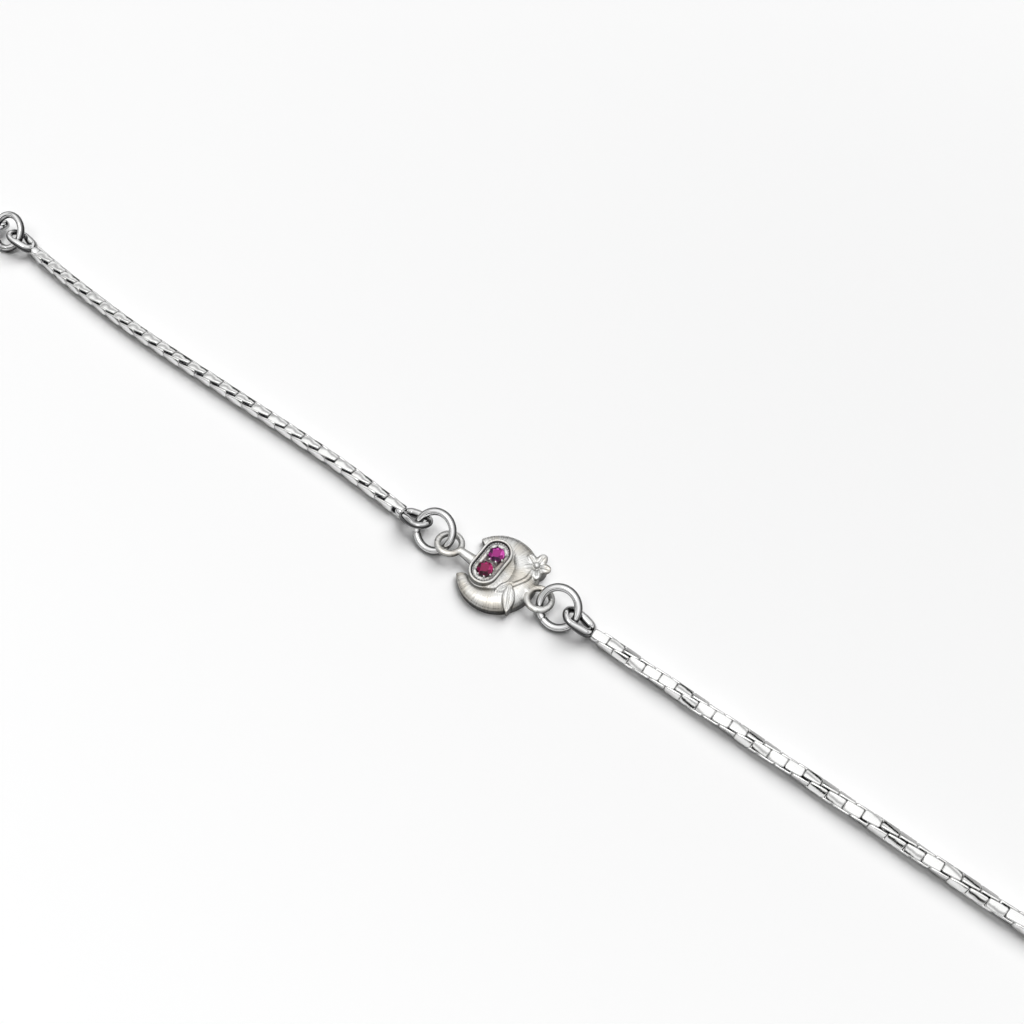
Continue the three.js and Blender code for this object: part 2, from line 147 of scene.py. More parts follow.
def new_piece(name: str, mesh: Mesh, smooth: bool = True) -> Object:
    """Puts a mesh into the scene as a piece of its own.

    Args:
        name: The piece's name.
        mesh: Its mesh, in metres.
        smooth: Whether its faces are shaded smooth.

    Returns:
        The new object.
    """
    if smooth:
        mesh.shade_smooth()
    mesh.name = name
    piece = bpy.data.objects.new(name, mesh)
    bpy.context.scene.collection.objects.link(piece)
    return piece


def mesh_from(points: np.ndarray, faces: np.ndarray) -> Mesh:
    """Makes a mesh from points in millimetres and faces of one size.

    Args:
        points: One row of x, y and z for each vertex.
        faces: One row of vertex numbers for each face.

    Returns:
        The mesh, in metres.
    """
    mesh = bpy.data.meshes.new("made")
    mesh.from_pydata((points * MM).tolist(), [], faces.tolist())
    mesh.update()
    return mesh


def set_recess(mesh: Mesh, shares: np.ndarray) -> None:
    """Writes how much painted shade a mesh gets at each vertex, which its finish reads.

    Args:
        mesh: The mesh.
        shares: From 0, bright, to 1, dark, for each vertex.
    """
    layer = mesh.attributes.new(RECESS, "FLOAT", "POINT")
    layer.data.foreach_set("value", shares.astype(np.float32))


def circle(count: int) -> np.ndarray:
    """Evenly spaced angles once round, in radians."""
    return np.linspace(0, 2 * math.pi, count, endpoint=False)


def spoke(degrees: float) -> np.ndarray:
    """The direction on the table at an angle from X, as x and y."""
    return np.array([math.cos(math.radians(degrees)), math.sin(math.radians(degrees))])


def rotation(degrees: float, axis: str) -> Matrix:
    """A turn about an axis."""
    return Matrix.Rotation(math.radians(degrees), 3, axis)


def unit(vectors: np.ndarray) -> np.ndarray:
    """A vector, or each row of several, scaled to a length of 1."""
    return vectors / np.linalg.norm(vectors, axis=-1, keepdims=True)


def box_centre(node: str) -> Vector:
    """The middle of a CAD node's box, in millimetres."""
    low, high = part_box(node)
    return (low + high) / 2 / MM


# The plan that the bracelet is drawn on has its zero at the middle of the ornament, on the table.
# The middle of its two stones is known there, and says where that zero lies in the frame.
STONES_MIDDLE = (-0.58, 0.1)
STONES_IN_FRAME = (box_centre("stone_upper") + box_centre("stone_lower")) / 2
ORIGIN = np.array(STONES_IN_FRAME)[:2] - STONES_MIDDLE


def closed_grid(rows: int, columns: int) -> np.ndarray:
    """The quads of a grid that closes on itself both ways.

    Args:
        rows: Number of sections round the ring.
        columns: Number of points in each section.

    Returns:
        One row of four vertex numbers for each quad.
    """
    row, column = np.meshgrid(np.arange(rows), np.arange(columns), indexing="ij")
    next_row, next_column = (row + 1) % rows, (column + 1) % columns
    corners = (
        row * columns + column,
        row * columns + next_column,
        next_row * columns + next_column,
        next_row * columns + column,
    )
    return np.stack([corner.ravel() for corner in corners], axis=1)


# ---------------------------------------------------------------- finishes


# A noise texture's values lie mostly between these two.
NOISE_LOW, NOISE_HIGH = 0.3, 0.7
NOISE_DETAIL = 3.0
OCCLUSION_SAMPLES = 8


@dataclass(frozen=True)
class Fade:
    """How a measured value becomes another: the range it is read over, and what its ends give."""

    low: float
    high: float
    at_low: float
    at_high: float


@dataclass(frozen=True)
class PolishedSilver:
    """Sterling silver, tumble polished: clear reflections, and painted shade between the links and
    down the sides of a wire.
    """

    bright: str
    recess: str
    roughness: float
    rub_spacing_mm: float = 0.09
    rub_depth_mm: float = 0.0012
    rub_strength: float = 0.5
    sleekest: float = 0.7
    dullest: float = 1.5

    def surface(self, tree: NodeTree) -> NodeSocket:
        """Adds the finish's nodes.

        Args:
            tree: The material's tree.

        Returns:
            The shader's output.
        """
        place = add_node(tree, "ShaderNodeTexCoord").outputs["Object"]
        # A tumbled surface carries shallow rub marks finer than the wire, drawn as coarse as shows.
        rubs = add_node(tree, "ShaderNodeTexNoise", {
            "Vector": place, "Scale": per_metre(self.rub_spacing_mm), "Detail": NOISE_DETAIL,
        })
        gloss = add_node(tree, "ShaderNodeMapRange", {
            "Value": rubs.outputs["Fac"], "From Min": NOISE_LOW, "From Max": NOISE_HIGH,
            "To Min": self.roughness * self.sleekest, "To Max": self.roughness * self.dullest,
        })
        bump = add_node(tree, "ShaderNodeBump", {
            "Height": rubs.outputs["Fac"], "Strength": self.rub_strength,
            "Distance": self.rub_depth_mm * MM,
        })
        # Painted shade darkens the metal between the links and down the sides of a wire.
        recess = add_node(tree, "ShaderNodeAttribute", attribute_name=RECESS)
        colour = add_node(tree, "ShaderNodeMix", {
            "Factor": recess.outputs["Fac"], "A": linear(self.bright), "B": linear(self.recess),
        }, data_type="RGBA")
        surface = add_node(tree, "ShaderNodeBsdfPrincipled", {
            "Base Color": colour.outputs["Result"], "Metallic": 1.0,
            "Roughness": gloss.outputs["Result"], "Normal": bump.outputs["Normal"],
        })
        return surface.outputs["BSDF"]


@dataclass(frozen=True)
class SatinSilver:
    """Cast sterling silver, pickled white and brushed: a grey satin, bright edges, painted shade in
    its hollows and on its walls.
    """

    bright: str = "#e6e6e4"
    warm: str = "#d3cdc1"
    trough: str = "#8c8a86"
    recess: str = "#262523"
    edge: str = "#fbfaf6"
    roughness: float = 0.3
    sleekest: float = 0.8
    dullest: float = 1.3
    cloud_spacing_mm: float = 1.1
    stroke_spacing_mm: float = 0.06
    stroke_spaced_at_mm: float = 2.0
    stroke_length_mm: float = 0.9
    stroke_depth_mm: float = 0.04
    stroke_strength: float = 0.7
    recess_reach_mm: float = 0.15
    edge_reach_mm: float = 0.12
    in_clouds: Fade = Fade(0.45, 0.65, 0.0, 0.8)
    in_troughs: Fade = Fade(0.42, 0.62, 0.22, 0.0)
    in_corners: Fade = Fade(0.3, 0.75, 0.75, 0.0)
    on_walls: Fade = Fade(0.1, 0.72, 0.85, 0.0)
    on_edges: Fade = Fade(0.45, 0.8, 0.8, 0.0)

    def strokes(self, tree: NodeTree, place: NodeSocket) -> NodeSocket:
        """Adds noise that is drawn out along the spokes of the crescent, as the brush ran.

        Args:
            tree: The material's tree.
            place: The point's own coordinates, in metres.

        Returns:
            The height of the strokes.
        """
        middle = (*ORIGIN * MM, 0.0)
        offset = add_node(tree, "ShaderNodeVectorMath", {0: place, 1: middle}, operation="SUBTRACT")
        from_middle = offset.outputs["Vector"]
        axes = add_node(tree, "ShaderNodeSeparateXYZ", {"Vector": from_middle})
        turned = add_node(tree, "ShaderNodeMath", {0: axes.outputs["Y"], 1: axes.outputs["X"]},
                          operation="ARCTAN2")
        away = add_node(tree, "ShaderNodeVectorMath", {0: from_middle}, operation="LENGTH")
        # Strokes fan out, so their spacing holds at one distance from the middle.
        scales = {
            "X": (turned, self.stroke_spaced_at_mm / self.stroke_spacing_mm),
            "Y": (away, per_metre(self.stroke_length_mm)),
        }
        drawn = add_node(tree, "ShaderNodeCombineXYZ", {
            axis: add_node(tree, "ShaderNodeMath", {0: measured.outputs["Value"], 1: scale},
                           operation="MULTIPLY").outputs["Value"]
            for axis, (measured, scale) in scales.items()
        })
        noise = add_node(tree, "ShaderNodeTexNoise", {
            "Vector": drawn.outputs["Vector"], "Scale": 1.0, "Detail": NOISE_DETAIL,
        })
        return noise.outputs["Fac"]

    def surface(self, tree: NodeTree) -> NodeSocket:
        """Adds the finish's nodes.

        Args:
            tree: The material's tree.

        Returns:
            The shader's output.
        """
        place = add_node(tree, "ShaderNodeTexCoord").outputs["Object"]
        clouds = add_node(tree, "ShaderNodeTexNoise", {
            "Vector": place, "Scale": per_metre(self.cloud_spacing_mm), "Detail": NOISE_DETAIL,
        })
        strokes = self.strokes(tree, place)
        corners, edges = [
            add_node(tree, "ShaderNodeAmbientOcclusion", {"Distance": reach * MM},
                     samples=OCCLUSION_SAMPLES, inside=inside)
            for reach, inside in ((self.recess_reach_mm, False), (self.edge_reach_mm, True))
        ]
        normal = add_node(tree, "ShaderNodeNewGeometry").outputs["Normal"]
        facing = add_node(tree, "ShaderNodeSeparateXYZ", {"Vector": normal})
        level = add_node(tree, "ShaderNodeMath", {0: facing.outputs["Z"]}, operation="ABSOLUTE")
        in_gloss = Fade(NOISE_LOW, NOISE_HIGH,
                        self.roughness * self.sleekest, self.roughness * self.dullest)
        gloss, cloud, trough, corner, wall, edge = [
            add_node(tree, "ShaderNodeMapRange", {
                "Value": measured, "From Min": fade.low, "From Max": fade.high,
                "To Min": fade.at_low, "To Max": fade.at_high,
            }).outputs["Result"]
            for measured, fade in (
                (strokes, in_gloss),
                (clouds.outputs["Fac"], self.in_clouds),
                (strokes, self.in_troughs),
                (corners.outputs["AO"], self.in_corners),
                (level.outputs["Value"], self.on_walls),
                (edges.outputs["AO"], self.on_edges),
            )
        ]
        # Painted shade: the larger of the corner and the wall share.
        dark = add_node(tree, "ShaderNodeMath", {0: corner, 1: wall}, operation="MAXIMUM")
        colour = linear(self.bright)
        for share, tint in (
            # Pickling whitens a casting unevenly, so broad clouds of a warmer silver show through.
            (cloud, self.warm),
            # The brush leaves fine strokes, and painted shade makes them greyer in their troughs.
            (trough, self.trough),
            # Painted shade darkens the corners and the walls that face sideways.
            (dark.outputs["Value"], self.recess),
            # The outward edges are coloured lighter.
            (edge, self.edge),
        ):
            colour = add_node(tree, "ShaderNodeMix", {
                "Factor": share, "A": colour, "B": linear(tint),
            }, data_type="RGBA").outputs["Result"]
        bump = add_node(tree, "ShaderNodeBump", {
            "Height": strokes, "Strength": self.stroke_strength,
            "Distance": self.stroke_depth_mm * MM,
        })
        surface = add_node(tree, "ShaderNodeBsdfPrincipled", {
            "Base Color": colour, "Metallic": 1.0,
            "Roughness": gloss, "Normal": bump.outputs["Normal"],
        })
        return surface.outputs["BSDF"]


@dataclass(frozen=True)
class CutStone:
    """A small faceted corundum: glassy and saturated in its own colour, with each facet painted
    lighter or darker than the next as a painted flash.
    """

    deep: str
    middle: str
    flash: str
    deep_below: float = 0.15
    middle_at: float = 0.5
    flash_above: float = 0.95
    facet_spread: float = 3.4
    ior: float = 1.77
    roughness: float = 0.05
    specular_level: float = 0.2

    def surface(self, tree: NodeTree) -> NodeSocket:
        """Adds the finish's nodes.

        Args:
            tree: The material's tree.

        Returns:
            The shader's output.
        """
        # Light that enters a stone leaves by a few facets. Here each facet's colour is painted
        # lighter or darker by its own direction, as a painted flash.
        facing = add_node(tree, "ShaderNodeNewGeometry").outputs["True Normal"]
        flashes = add_node(tree, "ShaderNodeTexVoronoi",
                           {"Vector": facing, "Scale": self.facet_spread})
        strength = add_node(tree, "ShaderNodeSeparateColor", {"Color": flashes.outputs["Color"]})
        colours = add_node(tree, "ShaderNodeValToRGB", {"Fac": strength.outputs["Red"]})
        set_ramp(colours, [(self.deep_below, self.deep), (self.middle_at, self.middle),
                           (self.flash_above, self.flash)])
        surface = add_node(tree, "ShaderNodeBsdfPrincipled", {
            "Base Color": colours.outputs["Color"], "Roughness": self.roughness, "IOR": self.ior,
            "Specular IOR Level": self.specular_level,
        })
        return surface.outputs["BSDF"]


@dataclass(frozen=True)
class PaleBoard:
    """Matt white board: plain, with no shine of its own."""

    white: str = "#fbfbfb"
    mirrored: str = "#dedede"
    roughness: float = 0.95

    def surface(self, tree: NodeTree) -> NodeSocket:
        """Adds the finish's nodes.

        Args:
            tree: The material's tree.

        Returns:
            The shader's output.
        """
        mirrored, white = [
            add_node(tree, "ShaderNodeBsdfDiffuse",
                     {"Color": linear(shade), "Roughness": self.roughness})
            for shade in (self.mirrored, self.white)
        ]
        # The polished metal mirrors the board a little darker than the eye sees it.
        seen = add_node(tree, "ShaderNodeLightPath").outputs["Is Camera Ray"]
        surface = add_node(tree, "ShaderNodeMixShader", {
            0: seen, 1: mirrored.outputs["BSDF"], 2: white.outputs["BSDF"],
        })
        return surface.outputs["Shader"]


Recipe = PolishedSilver | SatinSilver | CutStone | PaleBoard


class Finish(Enum):
    """The finishes of the bracelet: each one's material, and the record's slot it belongs to."""

    RING_WIRE = ("polished_silver_wire", "polished_silver")
    CHAIN_STRIP = ("burnished_silver_strip", "polished_silver")
    SATIN_CASTING = ("satin_cast_silver", "satin_silver")
    PINK_STONE = ("pink_sapphire", "pink_stone")
    RED_STONE = ("ruby", "red_stone")

    def __init__(self, material: str, slot: str) -> None:
        """Keeps the two names."""
        self.material = material
        self.slot = slot


@dataclass
class Finishes:
    """Every finish of the bracelet, built once and shared by the pieces."""

    materials: dict[Finish, Material] = field(default_factory=dict)

    def build(self) -> None:
        """Builds the five materials."""
        recipes = {
            # Drawn wire keeps a greyer skin, and its sides get a darker painted shade.
            Finish.RING_WIRE: PolishedSilver(bright="#dedede", recess="#28282a", roughness=0.08),
            # Rolled strip is burnished white, and its broad sides are a little wavy.
            Finish.CHAIN_STRIP: PolishedSilver(bright="#eaeae9", recess="#808084", roughness=0.13,
                                               rub_spacing_mm=0.16, rub_depth_mm=0.006),
            Finish.SATIN_CASTING: SatinSilver(),
            Finish.PINK_STONE: CutStone("#460a42", "#961474", "#d65cba"),
            Finish.RED_STONE: CutStone("#400622", "#820c46", "#b43070"),
        }
        self.materials = {
            finish: new_material(finish.material, recipe) for finish, recipe in recipes.items()
        }

    def coat(self, piece: Object, finish: Finish) -> None:
        """Puts a finish on a piece, or on a CAD node that stays in view."""
        piece.data.materials.clear()
        piece.data.materials.append(self.materials[finish])

    def dress(self, piece: Object, finish: Finish, node: str | None = None) -> None:
        """Gives a new piece its finish and its place in the frame.

        Args:
            piece: The piece.
            finish: The finish.
            node: The CAD node that it stands for, if it stands for one.
        """
        self.coat(piece, finish)
        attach(piece, BODY)
        if node:
            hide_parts(node)


# ---------------------------------------------------------------- layout and routes


def spline(points: list[tuple[float, ...]], steps: int = 40) -> np.ndarray:
    """A smooth line through a few points.

    Args:
        points: The points, ends included.
        steps: Steps between two of them.

    Returns:
        One row of coordinates for each point of the line.
    """
    known = np.array(points)
    padded = np.vstack([2 * known[0] - known[1], known, 2 * known[-1] - known[-2]])
    share = np.linspace(0, 1, steps, endpoint=False)[:, None]
    made = []
    for before, start, end, after in zip(padded, padded[1:], padded[2:], padded[3:]):
        made.append(0.5 * (
            2 * start
            + (end - before) * share
            + (2 * before - 5 * start + 4 * end - after) * share ** 2
            + (3 * start - before - 3 * end + after) * share ** 3
        ))
    return np.vstack(made + [known[-1:]])


@dataclass(frozen=True)
class Corner:
    """A rounded corner of the loop: where the straights would meet, and its radius."""

    x: float
    y: float
    radius: float


class Route:
    """A line on the plan that is followed by distance."""

    def __init__(self, points: np.ndarray) -> None:
        """Keeps the points and their distance from the start.

        Args:
            points: Closely spaced points, one row of x and y each.
        """
        self.points = points
        steps = np.linalg.norm(np.diff(points, axis=0), axis=1)
        self.distance = np.concatenate([[0.0], np.cumsum(steps)])

    @property
    def length(self) -> float:
        """The whole length of the route."""
        return float(self.distance[-1])

    def at(self, distance: np.ndarray) -> np.ndarray:
        """The places at some distances from the start, beyond the ends too.

        Args:
            distance: The distances.

        Returns:
            One row of x and y for each distance.
        """
        inside = np.clip(distance, 0, self.length)
        place = np.stack([
            np.interp(inside, self.distance, self.points[:, axis]) for axis in (0, 1)
        ], axis=1)
        first, last = unit(self.points[1] - self.points[0]), unit(self.points[-1] - self.points[-2])
        before = np.minimum(distance, 0)[:, None] * first
        after = np.maximum(distance - self.length, 0)[:, None] * last
        return place + before + after

    @classmethod
    def rounded(cls, start: Pair, corners: list[Corner], end: Pair, steps: int = 60) -> "Route":
        """A route of straights and arcs.

        Args:
            start: Where the first straight starts.
            corners: The rounded corners, in order.
            end: Where the last straight ends.
            steps: Number of points on each arc.

        Returns:
            The route.
        """
        made = [np.array([start])]
        ends = [np.array(start), *(np.array([each.x, each.y]) for each in corners), np.array(end)]
        for corner, before, middle, after in zip(corners, ends, ends[1:], ends[2:]):
            inward, outward = unit(before - middle), unit(after - middle)
            half = math.acos(float(inward @ outward)) / 2
            centre = middle + unit(inward + outward) * corner.radius / math.sin(half)
            first = middle + inward * corner.radius / math.tan(half) - centre
            side = inward[1] * outward[0] - inward[0] * outward[1]
            turn = math.copysign(math.pi - 2 * half, side)
            for angle in np.linspace(0, turn, steps):
                cosine, sine = math.cos(angle), math.sin(angle)
                swung = [first[0] * cosine - first[1] * sine, first[0] * sine + first[1] * cosine]
                made.append((centre + swung)[None])
        return cls(np.vstack(made + [np.array([end])]))


# ---------------------------------------------------------------- chain


@dataclass(frozen=True)
class Link:
    """One closed link of flat strip, bent to a box: its broad sides are the plates that show."""

    length: float = 0.96
    height: float = 0.785
    strip_width: float = 0.56
    strip_thickness: float = 0.14
    corner_radius: float = 0.07
    hole_radius: float = 0.04
    edge_radius: float = 0.065
    narrowing: float = 0.36
    narrowing_power: int = 8
    corner_steps: int = 4
    side_steps: int = 3
    edge_steps: int = 3

    def rounded_box(self, length: float, height: float, radius: float) -> np.ndarray:
        """An outline with round corners, started at the middle of the right corner's arc.

        Args:
            length: Its length along X.
            height: Its height along Z.
            radius: The corners' radius.

        Returns:
            One row of x and z for each point.
        """
        made = []
        quarter = np.linspace(0, math.pi / 2, self.corner_steps)
        centres = [(1, 1), (-1, 1), (-1, -1), (1, -1)]
        for corner, (right, up) in enumerate(centres):
            angle = quarter + corner * math.pi / 2
            centre = np.array([right * (length / 2 - radius), up * (height / 2 - radius)])
            made.append(centre + radius * np.stack([np.cos(angle), np.sin(angle)], axis=1))
        whole = []
        for arc, following in zip(made, made[1:] + made[:1]):
            share = np.linspace(0, 1, self.side_steps + 1)[1:-1, None]
            whole += [arc, arc[-1] + (following[0] - arc[-1]) * share]
        return np.vstack(whole)

    def mesh(self) -> tuple[np.ndarray, np.ndarray]:
        """Builds one link, with its plane in XZ and its middle at zero.

        Returns:
            One row of x, y and z for each point, and one row of vertex numbers for each quad.
        """
        outer = self.rounded_box(self.length, self.height, self.corner_radius)
        inner = self.rounded_box(self.length - 2 * self.strip_thickness,
                                 self.height - 2 * self.strip_thickness, self.hole_radius)
        middle = (outer + inner) / 2
        across = outer - inner
        width = np.linalg.norm(across, axis=1)
        across /= width[:, None]
        # The strip is cut narrower at the link's ends, where it passes through its neighbours.
        to_end = np.abs(2 * middle[:, 0] / self.length) ** self.narrowing_power
        half_strip = self.strip_width / 2 * (1 - self.narrowing * to_end)
        quarter = np.linspace(0, math.pi / 2, self.edge_steps)
        rows = []
        for corner, (out, side) in enumerate([(1, 1), (-1, 1), (-1, -1), (1, -1)]):
            for angle in quarter + corner * math.pi / 2:
                reach = out * (width / 2 - self.edge_radius) + self.edge_radius * math.cos(angle)
                lift = side * (half_strip - self.edge_radius) + self.edge_radius * math.sin(angle)
                place = middle + across * reach[:, None]
                rows.append(np.stack([place[:, 0], lift, place[:, 1]], axis=1))
        points = np.stack(rows, axis=1)
        return points.reshape(-1, 3), closed_grid(*points.shape[:2])


@dataclass(frozen=True)
class Lay:
    """How the links of a chain lie: their spacing, their roll, and how the chain is twisted."""

    pitch: float
    first_roll: float
    twist_per_pitch: float
    link_twist: float
    slack: float = 7.0
    # Each wave's share of the slack, and its step from link to link and its start in radians.
    waves: tuple[Triple, ...] = ((0.6, 0.83, 0.0), (0.4, 2.9, 1.0))

    def roll(self, number: int) -> float:
        """How far a link is rolled about the chain: worn links never lie quite evenly."""
        uneven = sum(share * math.sin(step * number + start) for share, step, start in self.waves)
        return self.first_roll + number * (90 + self.twist_per_pitch / 2) + self.slack * uneven


@dataclass
class LinkChain:
    """A whole chain of interlocking links as one piece, which stands for the CAD's tube."""

    name: str
    node: str
    route: Route
    lay: Lay
    link: Link = field(default_factory=Link)
    height: float = 0.48
    into_eye: float = 0.12
    look_ahead: float = 0.2
    tarnish_depth: float = 0.08
    drop: Triple = (0.46, 0.37, 0.34)
    drop_inset: float = 0.04
    run_on_reach: float = 0.75
    run_on_size: float = 0.72
    run_on_lift: float = 0.05
    voxel: float = 0.03
    smoothing: int = 3
    piece: Object | None = None
    solder: Object | None = None

    def build(self) -> None:
        """Lays the links along the route and solders its ends."""
        first = -self.into_eye + self.link.length / 2
        last = self.route.length + self.into_eye - self.link.length / 2
        count = round((last - first) / (self.lay.pitch / 2)) + 1
        distance = np.linspace(first, last, count)
        places = self.route.at(distance)
        step = self.look_ahead
        ahead = unit(self.route.at(distance + step) - self.route.at(distance - step))
        points, faces = self.link.mesh()
        made_points, made_faces, recess = [], [], []
        for number, (place, forward) in enumerate(zip(places, ahead)):
            twist = self.lay.link_twist * points[:, 0] / self.link.length
            angle = np.radians(self.lay.roll(number) + twist)
            side = points[:, 1] * np.cos(angle) - points[:, 2] * np.sin(angle)
            up = points[:, 1] * np.sin(angle) + points[:, 2] * np.cos(angle)
            sideways = np.array([-forward[1], forward[0]])
            plan = place + points[:, :1] * forward + side[:, None] * sideways
            made_points.append(np.column_stack([plan + ORIGIN, up + self.height]))
            made_faces.append(faces + number * len(points))
            # Painted shade: the deeper a point lies below the link's outer plate faces, the darker
            # it is painted.
            below_plate = self.link.height / 2 - np.hypot(points[:, 1], points[:, 2])
            recess.append(below_plate / self.tarnish_depth)
        mesh = mesh_from(np.vstack(made_points), np.vstack(made_faces))
        set_recess(mesh, np.clip(np.concatenate(recess), 0, 1))
        self.piece = new_piece(self.name, mesh)
        self.build_solder()
        LOG.info("%s: %d links, %.0f mm", self.name, count, self.route.length)

    def build_solder(self) -> None:
        """Fills the first and last link with the drops of solder that hold them to their eyes."""
        drops = Shapes()
        for end, inward in ((0.0, 1.0), (self.route.length, -1.0)):
            place, further = self.route.at(np.array([end + inward * self.drop_inset, end + inward]))
            turn = Matrix.Rotation(math.atan2(*(further - place)[::-1]), 3, "Z")
            drops.add_ball((*place, self.height), self.drop, turn)
            # A smaller drop has run on towards the eye.
            run_on = place - unit(further - place) * self.drop[0] * self.run_on_reach
            smaller = tuple(self.run_on_size * size for size in self.drop)
            drops.add_ball((*run_on, self.height + self.run_on_lift), smaller, turn)
        self.solder = drops.piece(f"{self.name}_solder", self.voxel, self.smoothing)

    def dress(self, finishes: Finishes) -> None:
        """Gives the chain and its solder their finish and their place in the frame."""
        finishes.dress(self.piece, Finish.CHAIN_STRIP, self.node)
        finishes.dress(self.solder, Finish.RING_WIRE)


# ---------------------------------------------------------------- closed shapes


class Shapes:
    """Closed surfaces on the plan, gathered before they are melted or joined into one piece."""

    pole_gap: float = 0.04
    crease_width: float = 0.22

    def __init__(self) -> None:
        """Starts with nothing."""
        self.points: list[np.ndarray] = []
        self.faces: list[tuple[int, ...]] = []
        self.count = 0

    def add(self, points: np.ndarray, faces: list[tuple[int, ...]]) -> None:
        """Adds one surface.

        Args:
            points: One row of x, y and z for each vertex.
            faces: The vertex numbers of each face, counted from the surface's own first vertex.
        """
        self.points.append(points)
        self.faces += [tuple(number + self.count for number in face) for face in faces]
        self.count += len(points)

    def add_grid(self, grid: np.ndarray, closed_rows: bool = False) -> None:
        """Adds a surface whose rows are closed rings, with a cap at each end or closed on itself.

        Args:
            grid: Rows of rings of points, as an array of rows by columns by 3.
            closed_rows: Whether the last row joins the first.
        """
        rows, columns = grid.shape[:2]
        quads = closed_grid(rows, columns)
        last_row = (rows - 1) * columns
        faces = [tuple(quad) for quad in (quads if closed_rows else quads[:last_row])]
        if not closed_rows:
            faces += [tuple(range(columns)), tuple(range(rows * columns - 1, last_row - 1, -1))]
        self.add(grid.reshape(-1, 3), faces)

    def add_ball(self, centre: Triple, radii: Triple,
                 turn: Matrix | None = None, crease: float = 0.0, fineness: int = 24) -> None:
        """Adds an ellipsoid, with a crease along its top when asked.

        Args:
            centre: Its middle.
            radii: Its half axes along its own X, Y and Z.
            turn: How it is turned.
            crease: Depth of the crease along X, as a share of the height.
            fineness: Points round its middle.
        """
        polar = np.linspace(self.pole_gap, math.pi - self.pole_gap, fineness // 2 + 1)[:, None]
        around = circle(fineness)[None]
        x = np.sin(polar) * np.cos(around)
        y = np.sin(polar) * np.sin(around)
        z = np.cos(polar) + 0 * around
        z = z * (1 - crease * np.exp(-(y / self.crease_width) ** 2) * (z > 0))
        ball = np.stack([x, y, z], axis=2) * np.array(radii)
        if turn is not None:
            ball = ball @ np.array(turn).T
        self.add_grid(ball + np.array(centre))

    def add_tube(self, line: np.ndarray, radius: np.ndarray | float, closed: bool = False,
                 sides: int = 20) -> None:
        """Adds a round tube along a line.

        Args:
            line: One row of x, y and z for each point of the line.
            radius: The tube's radius, at each point or all along.
            closed: Whether the line is a loop.
            sides: Points round the tube.
        """
        if closed:
            ahead = np.roll(line, -1, axis=0) - np.roll(line, 1, axis=0)
        else:
            ahead = np.gradient(line, axis=0)
        ahead = unit(ahead)
        side = unit(np.cross(ahead, [0.0, 0.0, 1.0]))
        up = np.cross(side, ahead)
        around = circle(sides)[None, :, None]
        ring = side[:, None] * np.cos(around) + up[:, None] * np.sin(around)
        thickness = np.broadcast_to(radius, len(line))[:, None, None]
        self.add_grid(line[:, None] + ring * thickness, closed_rows=closed)

    def add_ring(self, centre: Triple, radius: float, wire_radius: float, tilt: float,
                 steps: int = 64) -> None:
        """Adds a wire ring that is tilted about X.

        Args:
            centre: The ring's middle.
            radius: The radius of its middle line.
            wire_radius: The wire's own radius.
            tilt: Its tilt.
            steps: Number of sections round it.
        """
        around = circle(steps)
        flat = np.stack([np.cos(around), np.sin(around), 0 * around], axis=1) * radius
        line = flat @ np.array(rotation(tilt, "X")).T + np.array(centre)
        self.add_tube(line, wire_radius, closed=True)

    def joined(self) -> Mesh:
        """The gathered surfaces as one mesh.

        Returns:
            The mesh, in plan millimetres.
        """
        made = bpy.data.meshes.new("shapes")
        made.from_pydata(np.vstack(self.points).tolist(), [], self.faces)
        made.update()
        return made

    def melted(self, voxel: float, smoothing: int) -> Mesh:
        """The surfaces cast into one skin, with soft edges where they meet.

        Args:
            voxel: Size of the cells that the skin is made of.
            smoothing: Number of smoothing passes.

        Returns:
            The skin, in plan millimetres.
        """
        source = self.joined()
        worker = bpy.data.objects.new("worker", source)
        bpy.context.scene.collection.objects.link(worker)
        remesh = worker.modifiers.new("remesh", "REMESH")
        remesh.mode = "VOXEL"
        remesh.voxel_size = voxel
        soften = worker.modifiers.new("soften", "SMOOTH")
        soften.iterations = smoothing
        bpy.context.view_layer.update()
        shown = worker.evaluated_get(bpy.context.evaluated_depsgraph_get())
        skin = bpy.data.meshes.new_from_object(shown)
        bpy.data.objects.remove(worker)
        bpy.data.meshes.remove(source)
        return skin

    def piece(self, name: str, voxel: float | None = None, smoothing: int = 2) -> Object:
        """Makes a piece of the surfaces, at its place in the frame.

        Args:
            name: The piece's name.
            voxel: Size of the cells of its skin, if its surfaces are melted into one.
            smoothing: Number of smoothing passes over that skin.

        Returns:
            The new object.
        """
        mesh = self.melted(voxel, smoothing) if voxel else self.joined()
        mesh.transform(Matrix.Scale(MM, 4) @ Matrix.Translation((*ORIGIN, 0)))
        return new_piece(name, mesh)


# ---------------------------------------------------------------- rings and eyes


